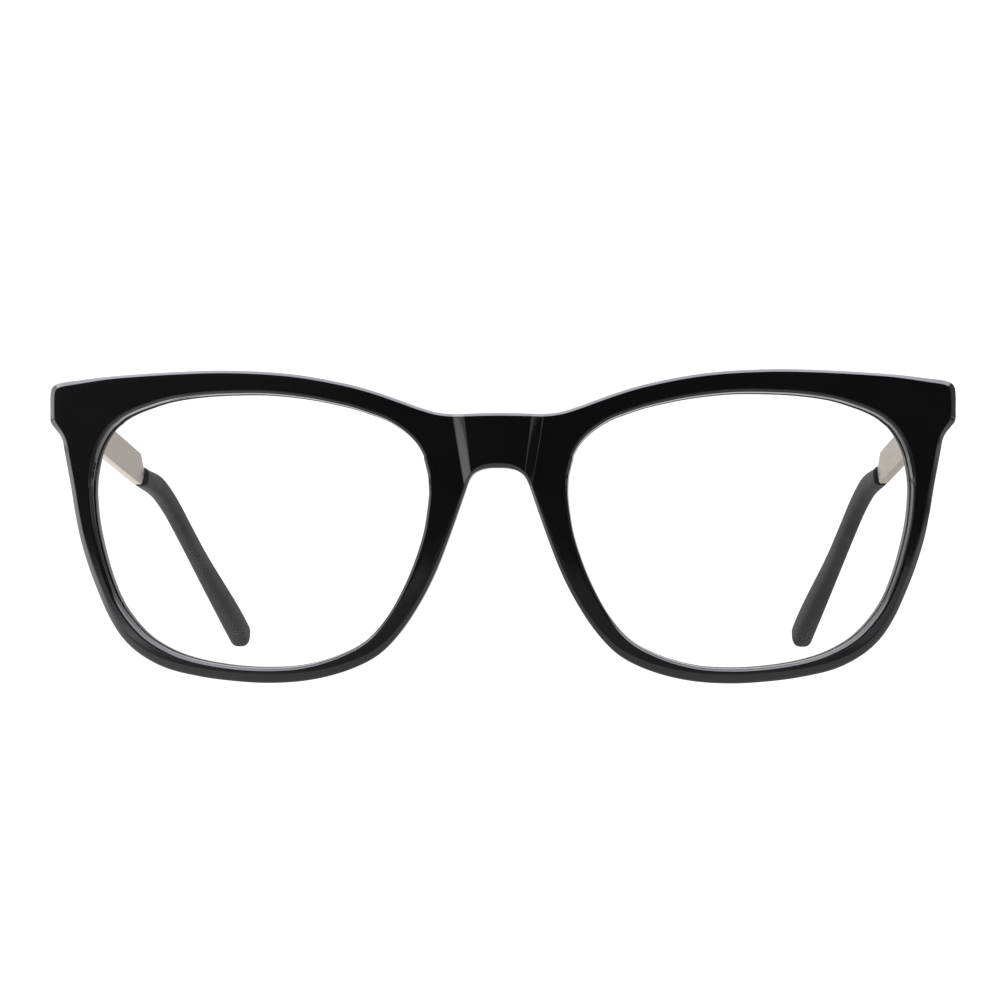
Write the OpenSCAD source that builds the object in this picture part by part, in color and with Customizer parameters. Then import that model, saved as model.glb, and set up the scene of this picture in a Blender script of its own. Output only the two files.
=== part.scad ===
// Eyeglasses frame standing open on its rims and temple tips.
// Front faces -Y, temples run to +Y, Z up, resting plane z = 0. Millimetres.

/* [Front] */
// Thickness of the front from face to back
front_thick = 4; // [3.7:0.1:4.4]
// Radius of each eyewire seen from above
eye_radius = 170; // [160:5:200]
// How far the bridge stands forward of the eyewires
bridge_rise = 1.2; // [0.6:0.1:1.4]
// Bevel of the outer front edge
edge_bevel = 0.7; // [0.4:0.1:0.9]
// Bevel of the front edge along the bottom of the rims
bottom_bevel = 1.15; // [0.7:0.05:1.2]
// How far the rims are let out at the temple side
rim_side = 0.45; // [0.3:0.05:0.5]
// How far the rims and the bridge are let out at the top
rim_top = 0.35; // [0.2:0.05:0.4]
// How far each opening is let out at the temple side
open_side = 1.75; // [1.4:0.05:1.8]
// How far each opening is let in at the nose
open_nose = 0.15; // [0:0.05:0.2]
// How far each opening is let out at the top
open_top = 0.55; // [0.4:0.05:0.6]
// How far each opening is let out at the bottom
open_low = 0.25; // [0.1:0.05:0.4]
// Rounding of the outer back edge
back_round = 0.7; // [0.3:0.1:0.9]
// Bevel of the opening's front edge
lip_bevel = 0.35; // [0.2:0.05:0.5]

/* [Lenses] */
// Radius of the lens's front surface
lens_radius = 130; // [120:5:150]
// Lens thickness
lens_thick = 1.4; // [1.2:0.1:1.5]
// How far the lens sits in its groove
groove_depth = 0.8; // [0.5:0.1:0.9]
// Front lip ahead of the lens at the sides
lip_front = 0.9; // [0.7:0.1:1]

/* [Nose pads] */
// Height of the pads behind the front
pad_height = 3.6; // [2.5:0.1:4.5]

/* [Hinges] */
// Barrel diameter
barrel_dia = 2.8; // [2.6:0.1:2.8]
// Screw diameter
screw_dia = 1.3; // [1.1:0.1:1.4]
// Screw head diameter
head_dia = 2.2; // [2:0.1:2.4]
// Running clearance of the screw in the temple's barrels, radial
screw_clear = 0.04; // [0.02:0.01:0.08]
// Gap between neighbouring barrels
barrel_gap = 0.06; // [0.04:0.01:0.1]

/* [Temples] */
// Height of the metal bar
bar_height = 5.4; // [5:0.1:5.6]
// Thickness of the metal bar
bar_thick = 1.4; // [1.2:0.1:1.5]
// Length of the flat bar behind the front
bar_length = 48; // [45:1:50]
// Height of the temple tip at its thickest
tip_height = 5.2; // [4.6:0.1:5.6]
// Thickness of the temple tip
tip_thick = 3.2; // [3:0.1:3.6]
// How much the tip thickens on its inner side near the end
tip_flare = 1; // [0.6:0.1:1.1]
// Diameter of the core inside the tip
core_dia = 1.3; // [1.1:0.1:1.4]

/* [Hidden] */

// whole part is moved back by half its depth so the origin is the middle of its box
depth_mid = 73.8;

// ---------- outline of the right half of the front, x and z ----------
// outer edge from the middle of the bridge's top, clockwise, to the top of the nose arch
outer_base = [
  [0, 39.9], [3, 39.85], [6, 39.8], [9, 40.05], [12, 40.95], [15, 42.05], [18, 43.1],
  [21, 44], [24, 44.7], [27.5, 45.4], [31.5, 46], [36, 46.4], [42, 46.65], [48, 46.6],
  [54, 46.4], [60, 46.1], [65, 45.65], [68, 45.3], [68.95, 44.7], [69.15, 43.6],
  [69.15, 41.5], [69.1, 39.8], [68.5, 38.8], [67.75, 37.9], [67.1, 36.8], [66.7, 35],
  [66.2, 32.5], [65.6, 29.5], [64.9, 25.5], [64, 21.5], [62.6, 17.2], [61, 13.3],
  [59.4, 9.9], [57.3, 6.7], [54.4, 4.1], [50.3, 2.05], [45, 0.85], [40, 0.25], [35, 0],
  [30, 0.25], [25.5, 1.05], [21.5, 2.35], [18.3, 4], [15.9, 6.1], [13.5, 9.1],
  [11.1, 13], [9.15, 17], [7.4, 21.5], [5.9, 25.7], [4.9, 28.6], [4.4, 30],
  [3.8, 31], [2.8, 31.7], [1.4, 32.05], [0, 32.1]
];
// opening edge, each point across the rim from the one above, then the nasal side
inner_base = [
  [11.1, 34], [11.7, 35], [12.5, 36], [13.6, 37], [15, 38], [17, 39.1], [19.5, 40],
  [22.2, 40.85], [25, 41.5], [28, 42.1], [31.5, 42.6], [35.5, 42.95], [40, 43],
  [45, 42.8], [50, 42.15], [54, 40.95], [56.1, 40], [57.2, 39.2], [57.8, 38.6],
  [58.4, 38], [59, 37.1], [59.6, 36], [60, 35], [60.3, 34], [60.5, 33], [60.7, 31.9],
  [60.9, 30.2], [60.9, 28.2], [60.6, 25], [60, 21.8], [58.8, 17.4], [57.3, 13.4],
  [55.5, 10.3], [53, 7.4], [49.8, 5.2], [46.3, 3.8], [42.3, 2.95], [38.3, 2.5],
  [34.3, 2.4], [30.3, 2.65], [26.7, 3.4], [23.4, 4.55], [20.5, 6], [18.1, 8],
  [15.8, 11], [13.7, 14.9], [12.2, 18.5], [11, 22.3], [10.4, 25.7], [10.15, 28],
  [10.15, 29.2], [10.2, 30.1], [10.3, 31], [10.5, 31.8], [10.65, 32.4], [10.8, 33],
  [10.95, 33.5]
];
sub = 3;
no = len(outer_base);
ni = len(inner_base);

// an edge point moved along its outward normal by an amount that blends from side to top or bottom
function normal_of(before, after) = let (t = (after - before) / norm(after - before)) [-t.y, t.x];
function let_out(p, n, side, nose, top, low) = p + n * ((n.x > 0 ? side : nose) * n.x * n.x + (n.y > 0 ? top : low) * n.y * n.y);
outer_pts = [for (i = [0:no - 1])
  let (a = i == 0 ? [-outer_base[1].x, outer_base[1].y] : outer_base[i - 1],
       b = i == no - 1 ? [-outer_base[no - 2].x, outer_base[no - 2].y] : outer_base[i + 1])
  let_out(outer_base[i], normal_of(a, b), rim_side, 0, rim_top, 0)];
inner_pts = [for (i = [0:ni - 1])
  let_out(inner_base[i], normal_of(inner_base[(i + ni - 1) % ni], inner_base[(i + 1) % ni]), open_side, -open_nose, open_top, open_low)];

function mix2(a, b, c, d, t) = 0.5 * (2 * b + (c - a) * t + (2 * a - 5 * b + 4 * c - d) * t * t + (3 * b - 3 * c + d - a) * t * t * t);
function og(i) = i < 0 ? [-outer_pts[1].x, outer_pts[1].y]
  : i >= no ? [-outer_pts[no - 2].x, outer_pts[no - 2].y] : outer_pts[i];
function ig(i) = inner_pts[(i + ni) % ni];
function unit(v) = v / norm(v);
function smooth(t) = let (c = min(1, max(0, t))) c * c * (3 - 2 * c);

outer_c = [for (i = [0:no - 2]) for (j = [0:sub - 1]) mix2(og(i - 1), og(i), og(i + 1), og(i + 2), j / sub), og(no - 1)];
inner_c = [for (i = [0:ni - 1]) for (j = [0:sub - 1]) mix2(ig(i - 1), ig(i), ig(i + 1), ig(i + 2), j / sub)];
so = len(outer_c);
si = len(inner_c);

// unit vectors from each edge into the acetate
outer_n = [for (k = [0:so - 1]) k == 0 ? [0, -1] : k == so - 1 ? [0, 1]
  : let (t = unit(outer_c[k + 1] - outer_c[k - 1])) [t.y, -t.x]];
inner_n = [for (k = [0:si - 1]) let (t = unit(inner_c[(k + 1) % si] - inner_c[(k + si - 1) % si])) [-t.y, t.x]];

// ---------- curve of the front seen from above ----------
flat_half = 10;
eye_y = 0.5;
draft = 0.05;
function face_y(x) = eye_y + pow(max(0, abs(x) - flat_half), 2) / (2 * eye_radius);
function lean(x) = 0.3 * max(0, abs(x) - flat_half) / eye_radius;

// lens sphere: through the face line, one lip behind it, at both sides of the opening
lens_z = 22.7;
lens_a = [10.2, face_y(10.2) + lip_front];
lens_b = [60.9, face_y(60.9) + lip_front];
lens_turn = atan2(lens_b.y - lens_a.y, lens_b.x - lens_a.x);
lens_half = norm(lens_b - lens_a) / 2;
lens_c = (lens_a + lens_b) / 2 + sqrt(lens_radius * lens_radius - lens_half * lens_half) * [-sin(lens_turn), cos(lens_turn)];
function lens_y(x, z, r) = lens_c.y - sqrt(r * r - pow(x - lens_c.x, 2) - pow(z - lens_z, 2));

function at(p, n, s, d) = let (x = p.x + n.x * s) [x - lean(p.x) * d, face_y(x) + d, p.y + n.y * s];
function at_lens(p, n, s, r) = let (q = s - draft * 2.2, x = p.x + n.x * q - lean(p.x) * 2.2, z = p.y + n.y * q) [x, lens_y(x, z, r), z];
function inside(p, n, s, d) = at(p, n, s - draft * d, d);

// the front edge is a bevel with eased corners, wider along the bottom
edge_profile = [[1, 0], [0.78, 0.08], [0.12, 0.62], [0, 0.9]];
function bevel(p, n) = edge_bevel + (bottom_bevel - edge_bevel) * smooth((n.y - 0.45) / 0.4) * smooth((12 - p.y) / 4);
function outer_wall(p, n) = [
  for (e = edge_profile) let (b = bevel(p, n)) at(p, n, b * e.x, edge_bevel * e.y),
  for (a = [90, 45, 0]) at(p, n, back_round * (1 - sin(a)), front_thick - back_round * (1 - cos(a)))
];
function inner_wall(p, n) = [
  inside(p, n, 0.25, front_thick), inside(p, n, 0, front_thick - 0.25),
  at_lens(p, n, 0, lens_radius - lens_thick), at_lens(p, n, groove_depth, lens_radius - lens_thick),
  at_lens(p, n, groove_depth, lens_radius), at_lens(p, n, 0, lens_radius),
  at(p, n, 0, lip_bevel), at(p, n, lip_bevel, 0)
];
// ring stations run along the outline from the bridge's top side line to its lower one, then close beside the bridge
t_top = 2.3;
t_low = 49.43;
top_line = 1.62;
low_line = 51.2;
closing = 24;
function oc(t) = let (i = floor(t)) mix2(og(i - 1), og(i), og(i + 1), og(i + 2), t - i);
function on(t) = t <= 0 ? [0, -1] : t >= no - 1 ? [0, 1] : let (v = unit(oc(t + 0.02) - oc(t - 0.02))) [v.y, -v.x];
function ic(t) = let (i = floor(t)) mix2(ig(i - 1), ig(i), ig(i + 1), ig(i + 2), t - i);
function in(t) = let (v = unit(ic(t + 0.02) - ic(t - 0.02))) [-v.y, v.x];
function strip(rows) = [for (i = [0:len(rows) - 2]) for (j = [0:len(rows[0]) - 2]) each [
  [rows[i][j], rows[i][j + 1], rows[i + 1][j + 1]], [rows[i][j], rows[i + 1][j + 1], rows[i + 1][j]]]];
function turned(tris) = [for (t = tris) [t[2], t[1], t[0]]];

ring_t = [t_top, for (k = [8:147]) k / 3, t_low];
ring_rows = [for (t = ring_t) let (o = outer_wall(oc(t), on(t))) concat(o, inner_wall(ic(t), in(t)), [o[0]])];
wall_low = outer_wall(oc(t_low), on(t_low));
wall_top = outer_wall(oc(t_top), on(t_top));
function side_line(j) = [for (k = [0:closing]) k == 0 ? wall_low[j] : k == closing ? wall_top[j]
  : wall_low[j] + (wall_top[j] - wall_low[j]) * k / closing];
line_front = side_line(0);
line_back = side_line(6);
closing_rows = [for (k = [0:closing]) let (t = k == 0 ? t_low : k == closing ? t_top : t_low + (t_top + ni - t_low) * k / closing)
  concat([line_back[k]], inner_wall(ic(t), in(t)), [line_front[k]])];

// raised bridge: a slanted facet from the side line up to a flat plateau
function raised(w) = [for (j = [0:6]) j < 4 ? w[j] - [0, bridge_rise, 0] : w[j]];
function pinned(w, mid) = mid ? [for (q = w) [0, q.y, q.z]] : w;
bridge_t = [[low_line, top_line], [(low_line * 2 + no - 1) / 3, top_line * 2 / 3], [(low_line + 2 * (no - 1)) / 3, top_line / 3], [no - 1, 0]];
low_rows = concat([wall_low], [for (q = bridge_t) pinned(raised(outer_wall(oc(q[0]), on(q[0]))), q[1] == 0)]);
top_rows = concat([wall_top], [for (q = bridge_t) pinned(raised(outer_wall(oc(q[1]), on(q[1]))), q[1] == 0)]);
function panel(line, j) = concat(
  [for (k = [0:closing - 1]) [low_rows[1][j], line[k], line[k + 1]]],
  [[low_rows[1][j], line[closing], top_rows[1][j]]],
  [for (i = [1:3]) each [[low_rows[i][j], top_rows[i][j], top_rows[i + 1][j]], [low_rows[i][j], top_rows[i + 1][j], low_rows[i + 1][j]]]]);
half_tris = concat(strip(ring_rows), strip(closing_rows), strip(low_rows), turned(strip(top_rows)),
  turned(panel(line_front, 0)), panel(line_back, 6));
function flipped(q) = [q.x == 0 ? 0 : -q.x, q.y, q.z];
front_tris = concat(half_tris, [for (t = half_tris) [flipped(t[2]), flipped(t[1]), flipped(t[0])]]);

module front_solid() {
  polyhedron(points = [for (t = front_tris) each t],
    faces = [for (k = [0:len(front_tris) - 1]) [3 * k, 3 * k + 1, 3 * k + 2]], convexity = 10);
}

// ---------- hinge ----------
axis_x = 63.6;
axis_y = 15.5;
hinge_z = 38.7;
pitch = 1;
barrel_h = pitch - barrel_gap;
plate_x = 62.4;
plate_turn = atan((plate_x - flat_half) / eye_radius);
plate_y = face_y(plate_x) + front_thick;

module at_plate() translate([plate_x, plate_y, hinge_z]) rotate([0, 0, plate_turn]) children();
module plate_shape() at_plate() translate([-2.4, -1, 0]) cube([5.3, 1, 5 * pitch - barrel_gap]);
module webs() for (k = [0, 2, 4]) translate([axis_x - 1, plate_y - 0.15, hinge_z + k * pitch]) cube([2, axis_y - plate_y + 0.15, barrel_h]);
module pin_hole(r) translate([axis_x, axis_y, hinge_z - 1]) cylinder(r = r, h = 8, $fn = 48);

module front_leaf() {
  difference() {
    union() {
      plate_shape();
      webs();
      for (k = [0, 2, 4]) translate([axis_x, axis_y, hinge_z + k * pitch]) cylinder(d = barrel_dia, h = barrel_h, $fn = 48);
    }
    pin_hole(screw_dia / 2);
  }
}

module hinge_screw() {
  top = hinge_z + 5 * pitch - barrel_gap;
  difference() {
    translate([axis_x, axis_y, 0]) union() {
      translate([0, 0, hinge_z - 0.1]) cylinder(d = screw_dia, h = top - hinge_z + 0.3, $fn = 48);
      translate([0, 0, top]) cylinder(d = head_dia, h = 0.6, $fn = 48);
    }
    translate([axis_x - 2, axis_y - 0.16, top + 0.32]) cube([4, 0.32, 1]);
  }
}

// ---------- temple: straight bar, gentle bend, dropped tip ----------
bar_p = [66.6, 14.25, 41.05];
bend_p = [64, 80, 31.1];
end_p = [59.3, 148, 1.6];
bend_run = 12;
core_end = 9;
d1 = unit(bend_p - bar_p);
d2 = unit(end_p - bend_p);
turn = acos(d1 * d2);
bend_r = bend_run / tan(turn / 2);
bend_in = bend_p - d1 * bend_run;
bend_out = bend_p + d2 * bend_run;
inward = unit(d2 - d1 * (d1 * d2));
bend_c = bend_in + inward * bend_r;
toe = atan2(bar_p.x - bend_p.x, bend_p.y - bar_p.y);
slope = (bend_p.z - bar_p.z) / norm([bend_p.x - bar_p.x, bend_p.y - bar_p.y]);

arc_len = bend_r * turn * 3.14159265 / 180;
run_a = norm(bend_in - bar_p);
run_b = run_a + arc_len;
run_c = run_b + norm(end_p - bend_out);
function centre(s) = s < run_a ? bar_p + d1 * s
  : s < run_b ? let (a = (s - run_a) / bend_r * 180 / 3.14159265) bend_c - inward * bend_r * cos(a) + d1 * bend_r * sin(a)
  : bend_out + d2 * (s - run_b);
function heading(s) = s < run_a ? d1
  : s < run_b ? let (a = (s - run_a) / bend_r * 180 / 3.14159265) d1 * cos(a) + inward * sin(a) : d2;

module along_bar() translate(bar_p) rotate([0, 0, toe]) rotate([90, 0, 90]) children();
core_from = bar_length - 4;
core_s = [core_from, run_a, for (k = [1:10]) run_a + arc_len * k / 10, run_c - core_end];
core_ring = 16;
module core() {
  nc = len(core_s);
  polyhedron(points = [for (s = core_s) let (c = centre(s), d = heading(s), e = unit([d.y, -d.x, 0]), u = cross(e, d))
    for (a = [0:core_ring - 1]) c + core_dia / 2 * (e * cos((a + 0.5) * 360 / core_ring) + u * sin((a + 0.5) * 360 / core_ring))],
    faces = concat([[for (a = [core_ring - 1:-1:0]) a]],
    [for (k = [0:nc - 2]) for (a = [0:core_ring - 1]) let (b = (a + 1) % core_ring) each [
      [k * core_ring + a, (k + 1) * core_ring + b, (k + 1) * core_ring + a], [k * core_ring + a, k * core_ring + b, (k + 1) * core_ring + b]]],
    [[for (a = [0:core_ring - 1]) (nc - 1) * core_ring + a]]));
}

bar_from = 0.4;
module temple_bar() {
  hb = bar_height / 2;
  along_bar() translate([0, 0, -bar_thick / 2]) linear_extrude(bar_thick) polygon([
    [bar_from, -hb + bar_from * slope], [bar_length - 2.6, -hb + (bar_length - 2.6) * slope],
    [bar_length - 1.9, -hb + 0.5 + (bar_length - 1.9) * slope],
    [bar_length, bar_length * slope - 0.1],
    [bar_length - 2.6, hb - 0.4 + (bar_length - 2.6) * slope],
    [bar_length - 3.2, hb + (bar_length - 3.2) * slope], [bar_from, hb + bar_from * slope]]);
  core();
}

module temple_leaf() {
  difference() {
    union() {
      along_bar() translate([0, 0, -bar_thick / 2 - 0.8]) linear_extrude(0.8) polygon([
        [0.4, -2.35], [8.2, -3.2], [9.4, -2.2], [9.4, 0.2], [8.2, 1.05], [0.4, 2.45]]);
      for (k = [1, 3]) {
        translate([axis_x, axis_y, hinge_z + k * pitch]) cylinder(d = barrel_dia, h = barrel_h, $fn = 48);
        translate([axis_x, axis_y - 0.9, hinge_z + k * pitch]) cube([1.85, 1.9, barrel_h]);
      }
    }
    pin_hole(screw_dia / 2 + screw_clear);
  }
}

// tip as a run of rounded sections along the temple's centre line
tip_from = bar_length + 0.6;
function bulge(s) = s > run_c - 2.4 ? sqrt(max(0.03, 1 - pow((s - run_c + 2.4) / 2.45, 2))) : s < tip_from + 0.6 ? 0.88 + 0.2 * (s - tip_from) : 1;
function tip_h(s) = (3.4 + 0.5 * smooth((s - tip_from) / 14) + (tip_height - 3.9) * smooth((s - 80) / 55)) / 2 * bulge(s);
function flare(s) = tip_flare * smooth((s - 95) / 40);
function tip_w(s) = (tip_thick - 0.4 + 0.1 * smooth((s - tip_from) / 14) + 0.3 * smooth((s - 80) / 55) + flare(s)) / 2 * bulge(s);
function tip_drop(s) = 0.8 * (1 - smooth((s - tip_from) / 16));
function pw(v) = sign(v) * pow(abs(v), 0.7);
ring = 20;
tip_s = [tip_from, tip_from + 0.3, tip_from + 0.6, for (k = [1:8]) tip_from + 0.6 + (run_a - tip_from - 0.6) * k / 8,
  for (k = [1:8]) run_a + arc_len * k / 8, for (k = [1:12]) run_b + (run_c - 2.4 - run_b) * k / 12,
  for (k = [1:6]) run_c - 2.4 + 2.4 * sin(k * 15)];
tip_pts = [for (s = tip_s) let (c = centre(s), d = heading(s), e = unit([d.y, -d.x, 0]), u = cross(e, d))
  for (a = [0:ring - 1]) c - u * tip_drop(s) - e * flare(s) / 2 + e * tip_w(s) * pw(cos(a * 360 / ring)) + u * tip_h(s) * pw(sin(a * 360 / ring))];
nt = len(tip_s);
module tip_solid() {
  polyhedron(points = tip_pts, faces = concat(
    [[for (a = [ring - 1:-1:0]) a]],
    [for (k = [0:nt - 2]) for (a = [0:ring - 1]) let (b = (a + 1) % ring) each [
      [k * ring + a, (k + 1) * ring + b, (k + 1) * ring + a], [k * ring + a, k * ring + b, (k + 1) * ring + b]]],
    [[for (a = [0:ring - 1]) (nt - 1) * ring + a]]));
}

module temple_tip() { difference() { tip_solid(); core(); } }

// ---------- nose pad: low ridge bonded behind the nasal rim ----------
pad_a = 43 * sub;
pad_b = 47 * sub;
function pad_rise(k) = let (t = (k - pad_a) / (pad_b - pad_a)) 0.5 + (pad_height - 0.5) * sqrt(max(0, sin(180 * t)));
function pad_row(k) = let (
    p = outer_c[k], n = outer_n[k], h = pad_rise(k), t = front_thick,
    w = min(3.2, norm(inner_c[k] - p) - 0.4))
  [at(p, n, back_round, t - 0.05), at(p, n, back_round + 0.15 * h, t + 0.65 * h), at(p, n, back_round + 0.4 * h, t + 0.93 * h),
   at(p, n, back_round + 0.6 * h, t + h), at(p, n, w - 0.1 * h, t + 0.75 * h), at(p, n, w, t + 0.3 * h), at(p, n, w, t - 0.05)];
pad_k = [pad_a:pad_b];
pad_pts = [for (k = pad_k) each pad_row(k)];
np = pad_b - pad_a + 1;
module nose_pad() {
  polyhedron(points = pad_pts, faces = concat(
    [[for (j = [0:6]) j]],
    [for (k = [0:np - 2]) for (j = [0:6]) let (q = (j + 1) % 7) each [
      [k * 7 + j, (k + 1) * 7 + j, (k + 1) * 7 + q], [k * 7 + j, (k + 1) * 7 + q, k * 7 + q]]],
    [[for (j = [6:-1:0]) (np - 1) * 7 + j]]));
}

// ---------- lens ----------
lens_edge = [for (k = [0:si - 1]) let (q = at_lens(inner_c[k], inner_n[k], groove_depth, lens_radius)) [q.x, q.z]];
module lens() {
  intersection() {
    translate([0, 40, 0]) rotate([90, 0, 0]) linear_extrude(50) polygon(lens_edge);
    translate([lens_c.x, lens_c.y, lens_z]) difference() {
      sphere(r = lens_radius, $fn = 360);
      sphere(r = lens_radius - lens_thick, $fn = 360);
    }
  }
}

module place() translate([0, -depth_mid, 0]) children();
module left() place() mirror([1, 0, 0]) children();

black = [0.05, 0.05, 0.06];
metal = [0.72, 0.7, 0.68];

module front_frame() color(black) place() difference() {
  front_solid();
  for (m = [0, 1]) mirror([m, 0, 0]) {
    plate_shape();
    webs();
  }
}
module lens_right() color([0.85, 0.92, 0.95, 0.35]) place() lens();
module lens_left() color([0.85, 0.92, 0.95, 0.35]) left() lens();
module nose_pad_right() color([0.1, 0.1, 0.11]) place() nose_pad();
module nose_pad_left() color([0.1, 0.1, 0.11]) left() nose_pad();
module front_leaf_right() color([0.6, 0.6, 0.62]) place() front_leaf();
module front_leaf_left() color([0.6, 0.6, 0.62]) left() front_leaf();
module hinge_screw_right() color([0.8, 0.8, 0.8]) place() hinge_screw();
module hinge_screw_left() color([0.8, 0.8, 0.8]) left() hinge_screw();
module temple_leaf_right() color([0.6, 0.6, 0.62]) place() temple_leaf();
module temple_leaf_left() color([0.6, 0.6, 0.62]) left() temple_leaf();
module temple_bar_right() color(metal) place() temple_bar();
module temple_bar_left() color(metal) left() temple_bar();
module temple_tip_right() color([0.15, 0.15, 0.16]) place() temple_tip();
module temple_tip_left() color([0.15, 0.15, 0.16]) left() temple_tip();

front_frame();
lens_right();
lens_left();
nose_pad_right();
nose_pad_left();
front_leaf_right();
front_leaf_left();
hinge_screw_right();
hinge_screw_left();
temple_leaf_right();
temple_leaf_left();
temple_bar_right();
temple_bar_left();
temple_tip_right();
temple_tip_left();
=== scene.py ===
"""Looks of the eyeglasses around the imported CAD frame. Lengths in millimetres until mesh_from() turns them into metres."""

import math

import bmesh
import bpy
import numpy as np
from mathutils import Matrix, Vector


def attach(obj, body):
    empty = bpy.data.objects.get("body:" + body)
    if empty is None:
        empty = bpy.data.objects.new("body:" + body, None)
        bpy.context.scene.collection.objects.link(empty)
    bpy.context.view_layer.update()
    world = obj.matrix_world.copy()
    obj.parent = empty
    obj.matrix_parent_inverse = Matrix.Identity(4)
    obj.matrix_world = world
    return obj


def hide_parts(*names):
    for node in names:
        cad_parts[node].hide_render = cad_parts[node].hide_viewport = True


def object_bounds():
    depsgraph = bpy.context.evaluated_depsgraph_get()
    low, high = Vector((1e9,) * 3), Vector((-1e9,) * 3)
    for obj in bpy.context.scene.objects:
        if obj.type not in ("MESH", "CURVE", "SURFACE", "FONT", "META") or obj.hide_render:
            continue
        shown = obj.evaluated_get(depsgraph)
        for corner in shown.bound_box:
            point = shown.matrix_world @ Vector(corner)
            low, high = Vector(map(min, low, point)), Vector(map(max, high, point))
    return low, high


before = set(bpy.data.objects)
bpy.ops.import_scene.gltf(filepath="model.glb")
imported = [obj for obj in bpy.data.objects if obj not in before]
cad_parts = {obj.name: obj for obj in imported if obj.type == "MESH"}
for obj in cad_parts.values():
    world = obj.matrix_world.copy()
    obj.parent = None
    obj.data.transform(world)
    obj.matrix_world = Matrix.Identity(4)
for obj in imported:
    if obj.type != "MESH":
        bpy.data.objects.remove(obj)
cad_lo, cad_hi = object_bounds()
DEPTH_MID = 73.8
SIDES = {"right": 1, "left": -1}

# ---------------------------------------------------------------- control points, as in the CAD source
OUTER_BASE = [
    (0, 39.9), (3, 39.85), (6, 39.8), (9, 40.05), (12, 40.95), (15, 42.05), (18, 43.1),
    (21, 44), (24, 44.7), (27.5, 45.4), (31.5, 46), (36, 46.4), (42, 46.65), (48, 46.6),
    (54, 46.4), (60, 46.1), (65, 45.65), (68, 45.3), (68.95, 44.7), (69.15, 43.6),
    (69.15, 41.5), (69.1, 39.8), (68.5, 38.8), (67.75, 37.9), (67.1, 36.8), (66.7, 35),
    (66.2, 32.5), (65.6, 29.5), (64.9, 25.5), (64, 21.5), (62.6, 17.2), (61, 13.3),
    (59.4, 9.9), (57.3, 6.7), (54.4, 4.1), (50.3, 2.05), (45, 0.85), (40, 0.25), (35, 0),
    (30, 0.25), (25.5, 1.05), (21.5, 2.35), (18.3, 4), (15.9, 6.1), (13.5, 9.1),
    (11.1, 13), (9.15, 17), (7.4, 21.5), (5.9, 25.7), (4.9, 28.6), (4.4, 30),
    (3.8, 31), (2.8, 31.7), (1.4, 32.05), (0, 32.1),
]
INNER_BASE = [
    (11.1, 34), (11.7, 35), (12.5, 36), (13.6, 37), (15, 38), (17, 39.1), (19.5, 40),
    (22.2, 40.85), (25, 41.5), (28, 42.1), (31.5, 42.6), (35.5, 42.95), (40, 43),
    (45, 42.8), (50, 42.15), (54, 40.95), (56.1, 40), (57.2, 39.2), (57.8, 38.6),
    (58.4, 38), (59, 37.1), (59.6, 36), (60, 35), (60.3, 34), (60.5, 33), (60.7, 31.9),
    (60.9, 30.2), (60.9, 28.2), (60.6, 25), (60, 21.8), (58.8, 17.4), (57.3, 13.4),
    (55.5, 10.3), (53, 7.4), (49.8, 5.2), (46.3, 3.8), (42.3, 2.95), (38.3, 2.5),
    (34.3, 2.4), (30.3, 2.65), (26.7, 3.4), (23.4, 4.55), (20.5, 6), (18.1, 8),
    (15.8, 11), (13.7, 14.9), (12.2, 18.5), (11, 22.3), (10.4, 25.7), (10.15, 28),
    (10.15, 29.2), (10.2, 30.1), (10.3, 31), (10.5, 31.8), (10.65, 32.4), (10.8, 33),
    (10.95, 33.5),
]
RIM_SIDE, RIM_TOP = 0.45, 0.35
OPEN_SIDE, OPEN_NOSE, OPEN_TOP, OPEN_LOW = 1.75, 0.15, 0.55, 0.25
THICK, EYE_Y, RADIUS, FLAT, DRAFT = 4.0, 0.5, 170.0, 10.0, 0.05
RISE, BACK_ROUND, LIP = 1.2, 0.7, 0.35
LENS_R, LENS_T, GROOVE, LIP_FRONT, LENS_Z = 130.0, 1.4, 0.8, 0.9, 22.7
NO, NI = len(OUTER_BASE), len(INNER_BASE)


def let_out(before, p, after, side, nose, top, low):
    """An edge point moved along its outward normal, by the same rule as in the CAD source."""
    v = np.subtract(after, before) / np.linalg.norm(np.subtract(after, before))
    n = np.array((-v[1], v[0]))
    d = (side if n[0] > 0 else nose) * n[0] ** 2 + (top if n[1] > 0 else low) * n[1] ** 2
    return tuple(np.array(p, float) + n * d)


def mirrored(p):
    return (-p[0], p[1])


OUTER = [
    let_out(OUTER_BASE[i - 1] if i else mirrored(OUTER_BASE[1]), OUTER_BASE[i],
            OUTER_BASE[i + 1] if i < NO - 1 else mirrored(OUTER_BASE[NO - 2]), RIM_SIDE, 0, RIM_TOP, 0)
    for i in range(NO)
]
INNER = [
    let_out(INNER_BASE[i - 1], INNER_BASE[i], INNER_BASE[(i + 1) % NI], OPEN_SIDE, -OPEN_NOSE, OPEN_TOP, OPEN_LOW)
    for i in range(NI)
]
T_TOP, T_LOW, T_TOP_A, T_LOW_A = 2.3, 49.43, 1.62, 51.2


def smooth(t):
    t = np.clip(t, 0, 1)
    return t * t * (3 - 2 * t)


def outer_ctrl(i):
    if i < 0:
        return np.array((-OUTER[-i][0], OUTER[-i][1]), float)
    if i >= NO:
        return np.array((-OUTER[2 * NO - 2 - i][0], OUTER[2 * NO - 2 - i][1]), float)
    return np.array(OUTER[i], float)


def inner_ctrl(i):
    return np.array(INNER[i % NI], float)


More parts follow.
